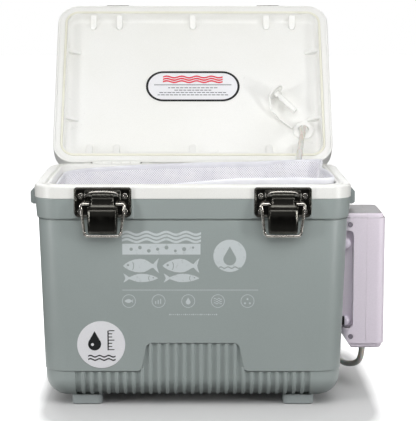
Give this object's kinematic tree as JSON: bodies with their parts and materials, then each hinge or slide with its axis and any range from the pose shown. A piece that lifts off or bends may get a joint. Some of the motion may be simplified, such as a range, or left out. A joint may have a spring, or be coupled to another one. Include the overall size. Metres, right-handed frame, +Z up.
{
  "type": "insulated live bait cooler",
  "caption": "Insulated live-bait cooler with hinged lid, draw latches, net bag and a clip-on battery air pump whose airline passes through the lid.",
  "frame": {"origin": "bottom centre of the bounding box of the cooler, open lid and pump, on the floor", "axes": "+Z up, -Y the front with the latches, +X towards the air pump"},
  "size_m": [0.3616, 0.3606, 0.3944],
  "materials": {
    "grey_plastic": "satin moulded grey plastic",
    "foot_plastic": "satin grey plastic",
    "white_plastic": "satin white plastic",
    "foam": "rigid pale foam, hidden",
    "gasket_rubber": "soft cream seal",
    "lug_plastic": "satin grey plastic",
    "black_metal": "glossy dark plated steel",
    "bright_steel": "bright plated wire",
    "screw_steel": "plated screws",
    "steel_pin": "plain steel",
    "net_fabric": "fine white mesh",
    "pump_plastic": "satin pale grey plastic",
    "inner_plastic": "dark plastic, hidden",
    "battery": "printed steel can, hidden",
    "brass": "plain",
    "pad_rubber": "matte black rubber",
    "switch_plastic": "satin black plastic",
    "hose_rubber": "soft grey tube",
    "stone": "porous blue-grey stone",
    "sticker": "thin printed film"
  },
  "bodies": {
    "lid": {"lid_shell": "white_plastic", "lid_inner_panel": "white_plastic", "lid_insulation": "foam", "lid_gasket": "gasket_rubber", "lid_label": "sticker", "hose_grommet": "white_plastic", "grommet_plug": "white_plastic", "hose_in_lid": "hose_rubber", "latch_keepers": "black_metal", "keeper_screws": "screw_steel", "hinge_leaves": "white_plastic", "hinge_leaf_screws": "screw_steel"},
    "left_lever": {"latch_lever_left": "black_metal"},
    "right_lever": {"latch_lever_right": "black_metal"},
    "left_bail": {"latch_bail_left": "bright_steel"},
    "right_bail": {"latch_bail_right": "bright_steel"},
    "battery_door": {"battery_door": "pump_plastic"},
    "pump_switch": {"switch_slider": "switch_plastic"},
    "cooler": {"outer_body": "grey_plastic", "inner_liner": "white_plastic", "wall_insulation": "foam", "feet": "foot_plastic", "strap_lug_left": "lug_plastic", "strap_lug_right": "lug_plastic", "strap_lug_screws": "screw_steel", "hinge_bracket_left": "white_plastic", "hinge_bracket_right": "white_plastic", "hinge_pins": "steel_pin", "hinge_bracket_screws": "screw_steel", "size_sticker": "sticker", "latch_plate_left": "black_metal", "latch_plate_right": "black_metal", "latch_lever_pins": "steel_pin", "latch_plate_screws": "screw_steel", "net_bag": "net_fabric", "net_hem": "net_fabric", "battery_cells": "battery", "battery_contacts": "brass", "pump_head": "inner_plastic", "pump_motor": "steel_pin", "hose_nozzle": "pump_plastic", "switch_frame": "switch_plastic", "switch_body": "inner_plastic", "pump_bumpers": "white_plastic", "bumper_pads": "pad_rubber", "pump_bracket": "inner_plastic", "pump_bracket_screws": "screw_steel", "pump_shell_screws": "screw_steel", "pump_back_shell": "pump_plastic", "pump_front_shell": "pump_plastic", "air_hose_outer": "hose_rubber", "air_hose_inner": "hose_rubber", "air_stone": "stone"}
  },
  "joints": [
    {"name": "lid_hinge", "type": "hinge", "parent": "cooler", "child": "lid", "pos_m": [-0.0147, 0.04083, 0.221], "axis": [1, 0, 0], "range_deg": [0, 124], "deforming": ["air_hose_outer", "air_hose_inner", "air_stone", "net_bag", "net_hem"]},
    {"name": "left_lever_pivot", "type": "hinge", "parent": "cooler", "child": "left_lever", "pos_m": [-0.1017, -0.17277, 0.2138], "axis": [-1, 0, 0], "range_deg": [0, 140]},
    {"name": "left_bail_pivot", "type": "hinge", "parent": "left_lever", "child": "left_bail", "pos_m": [-0.1017, -0.17437, 0.2057], "axis": [1, 0, 0], "range_deg": [-180, 0]},
    {"name": "right_lever_pivot", "type": "hinge", "parent": "cooler", "child": "right_lever", "pos_m": [0.0723, -0.17277, 0.2138], "axis": [-1, 0, 0], "range_deg": [0, 140]},
    {"name": "right_bail_pivot", "type": "hinge", "parent": "right_lever", "child": "right_bail", "pos_m": [0.0723, -0.17437, 0.2057], "axis": [1, 0, 0], "range_deg": [-180, 0]},
    {"name": "battery_door_hinge", "type": "hinge", "parent": "cooler", "child": "battery_door", "pos_m": [0.1793, -0.04097, 0.11665], "axis": [0, 0, 1], "range_deg": [0, 90]},
    {"name": "pump_switch_slide", "type": "slide", "parent": "cooler", "child": "pump_switch", "axis": [0, 0, 1], "range_m": [0, 0.006]}
  ]
}
